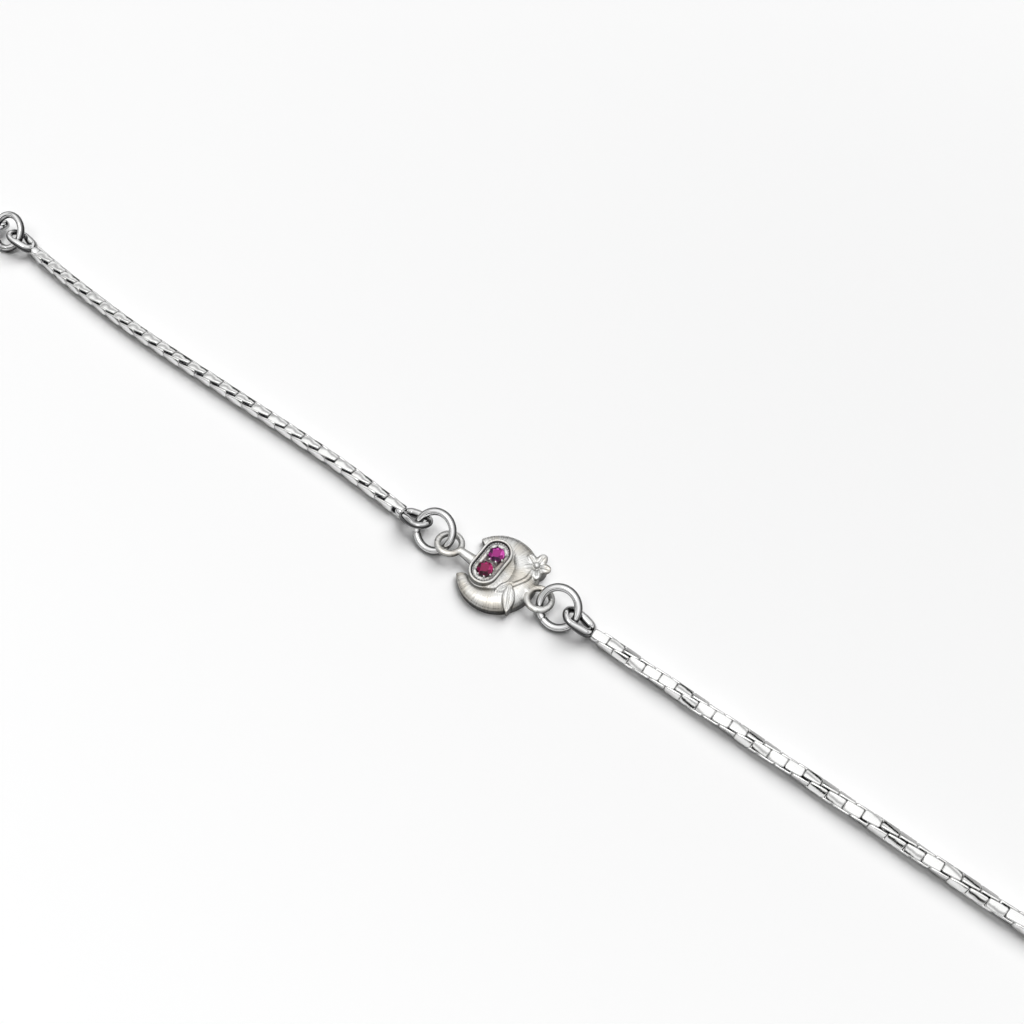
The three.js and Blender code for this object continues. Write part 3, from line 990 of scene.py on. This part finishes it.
@dataclass
class JumpRing:
    """A round wire ring, sawn from a coil and closed, with a fine seam where its ends meet."""

    name: str
    node: str
    seam: float
    radius: float = 1.15
    wire: float = 0.455
    tilt: float = 34.8
    drop: float = 0.0
    direction: float = 0.0
    seam_depth: float = 0.06
    seam_width: float = 0.035
    seam_crowding: float = 0.94
    bright_above: float = 0.85
    darkening: float = 0.5
    segments: int = 128
    sides: int = 24
    piece: Object | None = None

    def centre_line(self) -> tuple[np.ndarray, np.ndarray]:
        """Lays out the wire, flat on the ring's plane.

        Returns:
            The wire's middle line, and the outward way at each of its points.
        """
        around = circle(self.segments)
        # Sections crowd towards the seam, so that its groove is as fine as a saw cut.
        around = math.radians(self.seam) + around - self.seam_crowding * np.sin(around)
        outward = np.stack([np.cos(around), np.sin(around)], axis=1)
        return outward * self.radius, outward

    def wire_radius(self, line: np.ndarray) -> np.ndarray:
        """Measures out the wire, with the groove of the seam.

        Args:
            line: The wire's middle line.

        Returns:
            The wire's radius at each point of the line.
        """
        off_seam = np.linalg.norm(line - spoke(self.seam) * self.radius, axis=1)
        return self.wire / 2 - self.seam_depth * np.exp(-(off_seam / self.seam_width) ** 2)

    def build(self) -> None:
        """Builds the ring turned about X, Y and Z, in the middle of its node's box."""
        line, outward = self.centre_line()
        section = circle(self.sides)
        wire = self.wire_radius(line)[:, None]
        flat = line[:, None] + outward[:, None] * (wire * np.cos(section)[None])[:, :, None]
        points = np.dstack([flat, wire * np.sin(section)[None]]).reshape(-1, 3)
        turn = rotation(self.direction, "Z") @ (rotation(self.drop, "Y") @ rotation(self.tilt, "X"))
        points = points @ np.array(turn).T
        points += np.array(box_centre(self.node)) - (points.min(axis=0) + points.max(axis=0)) / 2
        mesh = mesh_from(points, closed_grid(*flat.shape[:2])[:, ::-1])
        # Painted shade darkens the sides of the wire; its crown stays bright.
        below_crown = (self.bright_above - np.abs(np.sin(section))) / self.bright_above
        set_recess(mesh, np.tile(np.clip(below_crown, 0, 1) ** self.darkening, len(line)))
        self.piece = new_piece(self.name, mesh)
        LOG.info("%s: %.2f mm wire", self.name, self.wire)

    def dress(self, finishes: Finishes) -> None:
        """Gives the ring its finish and its place in the frame."""
        finishes.dress(self.piece, Finish.RING_WIRE, self.node)


@dataclass
class EndEye(JumpRing):
    """A pear-shaped wire loop, soldered shut, that ends a chain."""

    radius: float = 0.57
    wire: float = 0.39
    tilt: float = -28.0
    drop: float = 16.0
    narrow_radius: float = 0.4
    length: float = 0.76
    solder: float = 0.09

    def centre_line(self) -> tuple[np.ndarray, np.ndarray]:
        """Lays out the wire, flat on the loop's plane.

        Returns:
            The wire's middle line, and the outward way at each of its points.
        """
        lean = math.acos((self.radius - self.narrow_radius) / self.length)
        quarter = self.segments // 4
        round_end = np.linspace(lean, 2 * math.pi - lean, 2 * quarter)
        narrow_end = np.linspace(-lean, lean, quarter)
        side = np.full(quarter // 2, lean)
        angle = np.concatenate([round_end, -side, narrow_end, side])
        narrow_share = np.concatenate([
            0 * round_end,
            np.linspace(0, 1, len(side) + 2)[1:-1],
            0 * narrow_end + 1,
            np.linspace(1, 0, len(side) + 2)[1:-1],
        ])
        outward = np.stack([np.cos(angle), np.sin(angle)], axis=1)
        reach = self.radius + (self.narrow_radius - self.radius) * narrow_share
        line = outward * reach[:, None]
        line[:, 0] += self.length * narrow_share
        return line, outward

    def wire_radius(self, line: np.ndarray) -> np.ndarray:
        """The wire's radius at each point of its line, fuller where it is soldered."""
        to_narrow = np.clip(line[:, 0] / self.length, 0, 1)
        return self.wire / 2 + self.solder * np.sin(to_narrow * math.pi / 2)


# ---------------------------------------------------------------- ornament


@dataclass(frozen=True)
class Crescent:
    """The casting's body: flat behind, with an upright wall, a domed top and a horn at each end."""

    radius: float = 2.415
    width: float = 1.86
    start: float = -144.0
    end: float = 150.0
    wall: float = 0.5
    horn_wall: float = 0.62
    dome: float = 0.6
    horn: float = 0.3
    bluntness: float = 0.8
    sections: int = 121
    dome_points: int = 25
    valley: Triple = (0.45, -0.1, 0.5)
    valley_fill: Triple = (1.1, 1.75, 0.46)

    def add_to(self, cast: Shapes) -> None:
        """Adds the crescent.

        Args:
            cast: The shapes that it joins.
        """
        share = np.linspace(0, 1, self.sections)[:, None]
        angle = np.radians(self.start + (self.end - self.start) * share)
        fullness = self.horn + (1 - self.horn) * np.sin(math.pi * share) ** self.bluntness
        width = self.width * fullness
        turn = np.linspace(0, math.pi, self.dome_points)[None]
        across = np.hstack([-width / 2, width / 2, width / 2 * np.cos(turn)])
        wall = self.wall * (self.horn_wall + (1 - self.horn_wall) * fullness)
        height = np.hstack([0 * width, 0 * width, wall + self.dome * fullness * np.sin(turn)])
        reach = self.radius - width / 2 + across
        cast.add_grid(np.stack([reach * np.cos(angle), reach * np.sin(angle), height], axis=2))
        # The casting is solid in the valley between the crescent and the setting.
        cast.add_ball(self.valley, self.valley_fill)


@dataclass(frozen=True)
class StoneSetting:
    """A raised panel with a rounded rim and a sunk floor, where raised grains hold two stones."""

    middle: Pair = STONES_MIDDLE
    length: float = 3.06
    width: float = 1.78
    floor: float = 1.02
    rim_top: float = 1.26
    rim_width: float = 0.15
    rim_round: float = 0.05
    round_share: float = 0.3
    rim_foot: float = 0.02
    floor_rows: int = 30
    centre_slit: float = 0.01
    girdle: float = 1.1
    stone_radius: float = 0.47
    stone_spacing: float = 1.12
    seat_play: float = 0.05
    seat_slope: float = 0.9
    bead: Triple = (0.07, 0.07, 0.09)
    bead_inset: float = 0.075
    bead_spacing: float = 0.155
    bead_lift: float = 0.05
    claw: Triple = (0.07, 0.075, 0.12)
    claw_reach: float = 0.045
    claw_lift: float = 0.02
    claw_lean: float = -24.0
    first_claw: int = 30
    claw_step: int = 45

    def outline(self, inset: float, steps: int = 96) -> np.ndarray:
        """The panel's outline, a little inside its edge.

        Args:
            inset: How far inside.
            steps: Number of points.

        Returns:
            One row of x and y for each point, on the plan.
        """
        radius = self.width / 2 - inset
        straight = (self.length - self.width) / 2
        half = np.linspace(0, math.pi, steps // 2)
        top = np.stack([radius * np.cos(half), straight + radius * np.sin(half)], axis=1)
        return np.vstack([top, -top]) + self.middle

    def stones(self) -> np.ndarray:
        """The middles of the two stones on the plan."""
        x, y = self.middle
        return np.array([[x, y + side * self.stone_spacing / 2] for side in (-1, 1)])

    def add_to(self, cast: Shapes) -> None:
        """Adds the panel, its rim and floor, and a drilled seat under each stone.

        Args:
            cast: The shapes that it joins.
        """
        corner, inner, top = self.rim_round, self.rim_width, self.rim_top
        softened = self.round_share * corner
        innermost = self.width / 2 - self.centre_slit
        rows = [
            (innermost, 0.0), (0.0, 0.0), (0.0, top - corner), (softened, top - softened),
            (corner, top), (inner - corner, top), (inner - softened, top - softened),
            (inner, top - corner), (inner + self.rim_foot, self.floor),
        ]
        floor_insets = np.linspace(inner + corner, innermost, self.floor_rows)
        rows += [(inset, self.floor) for inset in floor_insets]
        seat_radius = self.stone_radius + self.seat_play
        grid = []
        for inset, height in rows:
            outline = self.outline(inset)
            level = np.full(len(outline), height)
            if height == self.floor:
                away = np.linalg.norm(outline[:, None] - self.stones()[None], axis=2).min(axis=1)
                seat = self.girdle - self.seat_play - self.seat_slope * (seat_radius - away)
                level = np.where(away < seat_radius, np.minimum(level, seat), level)
            grid.append(np.column_stack([outline, level]))
        cast.add_grid(np.array(grid))

    def add_milgrain(self, beads: Shapes) -> None:
        """Adds the row of tiny rolled beads along the foot of the rim.

        Args:
            beads: The shapes that they join.
        """
        outline = self.outline(self.rim_width + self.bead_inset, 400)
        row = Route(np.vstack([outline, outline[:1]]))
        count = round(row.length / self.bead_spacing)
        for x, y in row.at(np.linspace(0, row.length, count, endpoint=False)):
            beads.add_ball((x, y, self.floor + self.bead_lift), self.bead, fineness=12)

    def add_claws(self, beads: Shapes) -> None:
        """Adds the grains raised round each stone, which lean over its edge and hold it.

        Args:
            beads: The shapes that they join.
        """
        reach = self.stone_radius + self.claw_reach
        height = self.girdle + self.claw_lift
        for stone in self.stones():
            for turned in range(self.first_claw, self.first_claw + 360, self.claw_step):
                lean = rotation(turned, "Z") @ rotation(self.claw_lean, "Y")
                centre = stone + reach * spoke(turned)
                beads.add_ball((*centre, height), self.claw, lean, fineness=14)


@dataclass(frozen=True)
class Flower:
    """Five cupped, creased petals round a bead, on a round boss."""

    x: float = 1.66
    y: float = 1.5
    top: float = 0.9
    boss_radius: float = 0.62
    boss_taper: float = 0.12
    boss_steps: int = 8
    bead: Triple = (0.2, 0.2, 0.18)
    bead_lift: float = 0.12
    petals: int = 5
    first_petal: float = 15.0
    petal: Triple = (0.4, 0.32, 0.22)
    petal_reach: float = 0.48
    petal_sink: float = 0.02
    petal_cup: float = -12.0
    petal_crease: float = 0.45

    def add_to(self, cast: Shapes) -> None:
        """Adds the flower.

        Args:
            cast: The shapes that it joins.
        """
        boss = np.linspace(0, self.top, self.boss_steps)
        # The boss leans by next to nothing, because a tube can't run straight up.
        line = np.stack([self.x + 1e-4 * boss, 0 * boss + self.y, boss], axis=1)
        cast.add_tube(line, self.boss_radius - self.boss_taper * boss / self.top, sides=32)
        cast.add_ball((self.x, self.y, self.top + self.bead_lift), self.bead)
        for number in range(self.petals):
            turned = self.first_petal + 360 / self.petals * number
            centre = np.array([self.x, self.y]) + self.petal_reach * spoke(turned)
            way = rotation(turned, "Z") @ rotation(self.petal_cup, "Y")
            cast.add_ball((*centre, self.top - self.petal_sink), self.petal, way,
                          crease=self.petal_crease)


@dataclass(frozen=True)
class Stem:
    """The flower's stem, which runs down over the crescent."""

    points: tuple[Triple, ...] = ((1.66, 1.1, 0.95), (1.68, 0.4, 1.03), (1.24, -0.45, 1.06))
    radius: float = 0.15
    steps: int = 12

    def add_to(self, cast: Shapes) -> None:
        """Adds the stem to the shapes."""
        cast.add_tube(spline(list(self.points), self.steps), self.radius)


@dataclass(frozen=True)
class Leaf:
    """A pointed leaf with a sunk middle vein and fine side veins, sloping down towards its tip."""

    x: float
    y: float
    length: float
    width: float
    turned: float
    top: float = 1.12
    foot: float = 0.3
    slope: float = 11.0
    swell: float = 0.1
    vein_depth: float = 0.1
    vein_width: float = 0.06
    side_vein_depth: float = 0.018
    side_vein_spacing: float = 0.16
    side_vein_slant: float = 0.9
    tip_gap: float = 0.02
    rows: int = 40
    columns: int = 17

    def add_to(self, cast: Shapes) -> None:
        """Adds the leaf.

        Args:
            cast: The shapes that it joins.
        """
        along = np.linspace(self.tip_gap, 1 - self.tip_gap, self.rows)
        across = np.linspace(-1, 1, self.columns)[None]
        x = ((along - 0.5) * self.length)[:, None] + 0 * across
        y = (self.width * 2 * along * (1 - along))[:, None] * across
        middle_vein = self.vein_depth * np.exp(-(y / self.vein_width) ** 2)
        ridge = self.swell * (1 - across ** 2) - middle_vein
        phase = (x - self.side_vein_slant * np.abs(y)) / self.side_vein_spacing
        veins = self.side_vein_depth * np.sin(2 * math.pi * phase)
        top = self.top + ridge + veins - math.tan(math.radians(self.slope)) * x
        foot = 0 * top + self.foot
        own = np.concatenate([
            np.stack([x, y, top], axis=2), np.stack([x[:, ::-1], y[:, ::-1], foot], axis=2),
        ], axis=1)
        cast.add_grid(own @ np.array(rotation(self.turned, "Z")).T + np.array([self.x, self.y, 0]))


@dataclass(frozen=True)
class Lug:
    """A cast ring with an arm that grows out of the body, rooted so far from the ring's middle."""

    centre: Triple
    arm: float
    radius: float = 0.71
    wire_radius: float = 0.195
    tilt: float = -10.0
    arm_tip: float = 0.24
    arm_root: float = 0.36
    arm_sink: float = 0.15
    arm_steps: int = 12

    def add_to(self, cast: Shapes) -> None:
        """Adds the ring and its arm.

        Args:
            cast: The shapes that it joins.
        """
        cast.add_ring(self.centre, self.radius, self.wire_radius, self.tilt)
        x, y, z = self.centre
        reach = np.linspace(self.radius, self.arm, self.arm_steps)
        sunk = self.arm_sink * (reach - self.radius) / (self.arm - self.radius)
        line = np.stack([x - math.copysign(1, x) * reach, 0 * reach + y, z - sunk], axis=1)
        cast.add_tube(line, np.linspace(self.arm_tip, self.arm_root, len(line)))


@dataclass
class Ornament:
    """The cast centre: a crescent with a stone setting, a flower sprig and a lug at each side."""

    node: str = "centre_ornament"
    setting: StoneSetting = StoneSetting()
    voxel: float = 0.03
    body: Object | None = None
    grains: Object | None = None

    def build(self) -> None:
        """Builds the casting and its fine beads."""
        cast = Shapes()
        for form in (
            Crescent(), self.setting, Flower(), Stem(),
            Leaf(1.56, -1.12, length=1.7, width=0.7, turned=-62.0),
            Leaf(0.96, -0.72, length=1.2, width=0.56, turned=-118.0),
            Lug((-3.28, -0.29, 0.82), arm=2.0),
            Lug((2.94, -0.03, 0.79), arm=1.2),
        ):
            form.add_to(cast)
        self.body = cast.piece("crescent_ornament", self.voxel)
        beads = Shapes()
        self.setting.add_milgrain(beads)
        self.setting.add_claws(beads)
        self.grains = beads.piece("setting_beads")
        LOG.info("ornament: %d faces in its skin", len(self.body.data.polygons))

    def dress(self, finishes: Finishes) -> None:
        """Gives the casting and its beads their finish and their place in the frame."""
        # The brush can't reach into the setting, but a tool has burnished its beads and claws.
        finishes.dress(self.body, Finish.SATIN_CASTING, self.node)
        finishes.dress(self.grains, Finish.CHAIN_STRIP)


# ---------------------------------------------------------------- clasp


@dataclass
class SpringRingClasp:
    """A hollow spring ring: a lever in a slot, a collar each side of its mouth, and its own eye."""

    node: str = "clasp"
    eye: Pair = (-43.92, 0.5)
    heading: float = 235.0
    reach: float = 3.05
    height: float = 1.05
    radius: float = 1.95
    tube: float = 0.94
    tube_inset: float = 0.03
    sections: int = 240
    section_points: int = 40
    mouth_turn: float = 0.75
    mouth_half: float = 0.03
    mouth_depth: float = 0.06
    collar_turn: float = 0.09
    collar_half: float = 0.04
    collar_height: float = 0.03
    slot_turn: float = -0.3
    slot_half_length: float = 0.42
    slot_half_width: float = 0.2
    slot_depth: float = 0.14
    lever: Triple = (0.3, 0.3, 0.27)
    eye_radius: float = 0.6
    eye_wire: float = 0.36
    eye_height: float = 0.89
    eye_tilt: float = -28.0
    neck_tip: float = 0.2
    neck_root: float = 0.3
    neck_steps: int = 10
    voxel: float = 0.04
    piece: Object | None = None

    def build(self) -> None:
        """Builds the clasp in one skin."""
        cast = Shapes()
        way = np.array([*spoke(self.heading), 0])
        eye = np.array([*self.eye, self.eye_height])
        middle = np.array([*self.eye, self.height]) + self.reach * way
        self.add_tube(cast, middle)
        cast.add_ring(tuple(eye), self.eye_radius, self.eye_wire / 2, self.eye_tilt)
        into_tube = middle - (self.radius + self.tube / 4) * way
        neck = np.linspace(eye + self.eye_radius * way, into_tube, self.neck_steps)
        cast.add_tube(neck, np.linspace(self.neck_tip, self.neck_root, len(neck)))
        lever = middle + [*self.radius * spoke(self.heading - 90), self.tube / 2]
        cast.add_ball(tuple(lever), self.lever)
        self.piece = cast.piece("spring_ring_clasp", self.voxel)
        LOG.info("clasp: %.1f mm across", 2 * self.radius + self.tube)

    def off(self, around: np.ndarray, turn: float) -> np.ndarray:
        """How far each place round the ring is from a place that far past the lever, in radians."""
        return (around - math.radians(self.heading - 90) - turn + math.pi) % (2 * math.pi) - math.pi

    def add_tube(self, cast: Shapes, middle: np.ndarray) -> None:
        """Adds the ring-shaped tube with its lever slot, its collars and the seam of its mouth.

        Args:
            cast: The shapes that it joins.
            middle: The ring's middle.
        """
        around, section = circle(self.sections), circle(self.section_points)
        from_mouth = np.abs(self.off(around, self.mouth_turn))
        in_collar = np.abs(from_mouth - self.collar_turn) < self.collar_half
        swell = self.collar_height * in_collar - self.mouth_depth * (from_mouth < self.mouth_half)
        along_slot = np.abs(self.off(around, 0.0) - self.slot_turn) < self.slot_half_length
        across_slot = np.abs(section - math.pi / 2) < self.slot_half_width
        in_slot = along_slot[:, None] & across_slot[None]
        tube = self.tube / 2 - self.tube_inset + swell[:, None] - self.slot_depth * in_slot
        reach = self.radius + tube * np.cos(section)[None]
        cast.add_grid(np.stack([
            middle[0] + reach * np.cos(around)[:, None],
            middle[1] + reach * np.sin(around)[:, None],
            middle[2] + tube * np.sin(section)[None],
        ], axis=2), closed_rows=True)

    def dress(self, finishes: Finishes) -> None:
        """Gives the clasp its finish and its place in the frame."""
        finishes.dress(self.piece, Finish.RING_WIRE, self.node)


# ---------------------------------------------------------------- studio


def hang(name: str, data: ID, target: Vector, compass: float, height_angle: float,
         distance: float) -> Object:
    """Hangs a lamp or a camera and turns it to its target.

    Args:
        name: The object's name.
        data: The lamp or the camera.
        target: What it is turned to, in metres.
        compass: Its direction from there, on the table.
        height_angle: Its angle above the table from there.
        distance: How far away it is, in metres.

    Returns:
        The object.
    """
    level, up = spoke(height_angle)
    away = Vector((*level * spoke(compass), up))
    hung = bpy.data.objects.new(name, data)
    hung.location = target + away * distance
    hung.rotation_euler = away.to_track_quat("Z", "Y").to_euler()
    bpy.context.scene.collection.objects.link(hung)
    return hung


@dataclass(frozen=True)
class SoftBox:
    """A square soft light, with its size and its distance from its target in metres."""

    name: str
    compass: float
    height_angle: float
    distance: float
    size: float
    watts: float
    mirrored: bool

    def build(self, target: Vector) -> None:
        """Hangs the light and turns it to its target.

        Args:
            target: Where it shines, in metres.
        """
        light = bpy.data.lights.new(self.name, "AREA")
        light.shape = "SQUARE"
        light.size = self.size
        light.energy = self.watts
        lamp = hang(self.name, light, target, self.compass, self.height_angle, self.distance)
        lamp.visible_glossy = self.mirrored


@dataclass
class Studio:
    """The pale table, the soft light and the camera, whose distances are metres."""

    # Where the camera looks, in millimetres on the plan.
    aim_from_plan: Pair = (-1.86, 3.88)
    camera_compass: float = -53.57
    camera_height_angle: float = 62.0
    camera_distance: float = 0.06
    lens: float = 35.16
    sensor_width: float = 36.0
    clip_start: float = 0.001
    clip_end: float = 10.0
    floor_reach: float = 0.2
    paper: str = "#d6d6d6"
    tent: tuple[tuple[float, str], ...] = (
        (0.0, "#060606"), (0.24, "#101010"), (0.33, "#f4f4f4"), (0.45, "#f0f0f0"),
        (0.53, "#a8a8a8"), (0.6, "#b0b0b0"), (0.7, "#ffffff"),
    )
    tent_strength: float = 1.2
    boxes: tuple[SoftBox, ...] = (
        SoftBox("key_softbox", compass=81.0, height_angle=56.0, distance=0.3, size=0.26,
                watts=1.22, mirrored=False),
        SoftBox("top_softbox", compass=250.0, height_angle=76.0, distance=0.4, size=0.2,
                watts=0.28, mirrored=True),
    )

    def build(self) -> None:
        """Builds everything that isn't part of the object."""
        aim = Vector((*(ORIGIN + self.aim_from_plan) * MM, 0))
        self.build_floor()
        self.build_world()
        self.build_camera(aim)
        for soft_box in self.boxes:
            soft_box.build(aim)
        bpy.context.scene.view_settings.view_transform = "Standard"

    def build_floor(self) -> None:
        """Lays a plain white board under the bracelet."""
        reach = self.floor_reach
        mesh = bpy.data.meshes.new("board")
        corners = [(-reach, -reach, 0), (reach, -reach, 0), (reach, reach, 0), (-reach, reach, 0)]
        mesh.from_pydata(corners, [], [(0, 1, 2, 3)])
        floor = new_piece("board", mesh, smooth=False)
        floor.data.materials.append(new_material("matt_white_board", PaleBoard()))

    def build_world(self) -> None:
        """Surrounds the table with a light tent: bright above, dark towards the horizon."""
        world = bpy.data.worlds.new("light_tent")
        world.use_nodes = True
        tree = world.node_tree
        tree.nodes.clear()
        place = add_node(tree, "ShaderNodeTexCoord").outputs["Generated"]
        height = add_node(tree, "ShaderNodeSeparateXYZ", {"Vector": place})
        tent = add_node(tree, "ShaderNodeValToRGB", {"Fac": height.outputs["Z"]})
        set_ramp(tent, self.tent)
        # Behind the board hangs plain pale paper. The tent's dark foot is for the metal to mirror.
        seen = add_node(tree, "ShaderNodeLightPath").outputs["Is Camera Ray"]
        shown = add_node(tree, "ShaderNodeMix", {
            "Factor": seen, "A": tent.outputs["Color"], "B": linear(self.paper),
        }, data_type="RGBA")
        background = add_node(tree, "ShaderNodeBackground", {
            "Color": shown.outputs["Result"], "Strength": self.tent_strength,
        })
        output = add_node(tree, "ShaderNodeOutputWorld")
        tree.links.new(background.outputs["Background"], output.inputs["Surface"])
        bpy.context.scene.world = world
        world.cycles_visibility.diffuse = False

    def build_camera(self, aim: Vector) -> None:
        """Sets the camera above the table, turned to the middle of the view.

        Args:
            aim: The middle of the view, in metres.
        """
        camera = bpy.data.cameras.new("camera")
        camera.lens = self.lens
        camera.sensor_width = self.sensor_width
        camera.clip_start = self.clip_start
        camera.clip_end = self.clip_end
        bpy.context.scene.camera = hang("camera", camera, aim, self.camera_compass,
                                        self.camera_height_angle, self.camera_distance)


# ---------------------------------------------------------------- the bracelet


# Where the chains run on the plan.
SHORT_ROUTE = [
    (-40.27, 0.5), (-35.5, 0.12), (-29.0, -0.14), (-21.0, -0.04), (-13.0, 0.06), (-6.97, -0.19),
]
LONG_START = (6.64, 0.17)
LONG_CORNERS = [Corner(48.7, 0.2, 5.0), Corner(-5.3, -38.2, 10.0)]
LONG_END = (-42.86, -5.6)
END_HEADING = -52.0


def main() -> None:
    """Builds the bracelet piece by piece, then the studio round it."""
    logging.basicConfig(level=logging.INFO, format="%(name)s: %(message)s")
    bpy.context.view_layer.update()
    finishes = Finishes()
    finishes.build()
    long_link = Link(length=1.335, height=0.78, strip_width=0.54)
    straight = Lay(pitch=1.37, first_roll=75.0, twist_per_pitch=0.0, link_twist=-30.0)
    twisted = Lay(pitch=0.975, first_roll=0.0, twist_per_pitch=-21.4, link_twist=-12.0)
    pieces = [
        LinkChain("short_link_chain", "chain_short",
                  Route(spline(SHORT_ROUTE)), straight, long_link),
        LinkChain("long_link_chain", "chain_long",
                  Route.rounded(LONG_START, LONG_CORNERS, LONG_END), twisted),
        Ornament(),
        SpringRingClasp(),
        JumpRing("ring_beside_short_chain", "jump_ring_left", seam=-144.0),
        JumpRing("ring_beside_long_chain", "jump_ring_right", seam=-114.0),
        JumpRing("ring_beside_clasp", "jump_ring_clasp", seam=-130.0),
        JumpRing("ring_at_long_end", "jump_ring_end", seam=100.0, tilt=48.6, direction=END_HEADING),
        EndEye("eye_short_outer", "end_eye_short_outer", seam=60.0),
        EndEye("eye_short_inner", "end_eye_short_inner", seam=60.0, tilt=28.0, direction=180.0),
        EndEye("eye_long_inner", "end_eye_long_inner", seam=60.0),
        EndEye("eye_long_outer", "end_eye_long_outer", seam=60.0, direction=END_HEADING),
    ]
    for piece in pieces:
        piece.build()
        piece.dress(finishes)
    finishes.coat(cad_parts["stone_upper"], Finish.PINK_STONE)
    finishes.coat(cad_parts["stone_lower"], Finish.RED_STONE)
    Studio().build()


if __name__ == "__main__":
    main()
